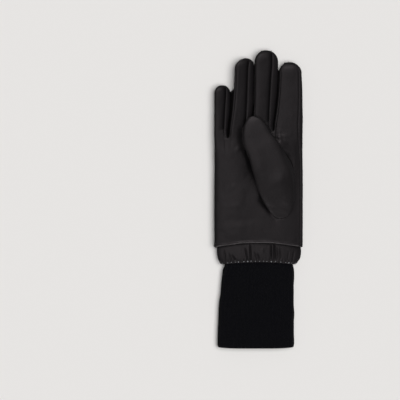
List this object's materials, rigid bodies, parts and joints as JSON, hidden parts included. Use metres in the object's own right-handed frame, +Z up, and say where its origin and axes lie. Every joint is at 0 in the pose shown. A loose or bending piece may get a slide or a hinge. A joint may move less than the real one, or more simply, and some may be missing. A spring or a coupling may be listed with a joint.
{
  "type": "leather and knit glove",
  "caption": "Dress glove for a right hand, lying palm up with its thumb folded over the palm: black leather, a ruched leather band and a long ribbed knit cuff.",
  "frame": {"origin": "on the surface that the glove lies on, under the middle of its bounding box", "axes": "+Y to the fingertips, +X to the index finger's side, +Z up, from the back of the hand to the palm"},
  "size_m": [0.0908, 0.3058, 0.0274],
  "materials": {
    "leather": "soft satin nappa leather, black",
    "knit": "matt ribbed knit, black"
  },
  "bodies": {
    "root": {"palm_panel": "leather", "back_panel": "leather", "fourchette_little_ring": "leather", "fourchette_ring_middle": "leather", "fourchette_middle_index": "leather", "thumb": "leather", "gathered_band": "leather", "knit_cuff": "knit"}
  },
  "joints": []
}
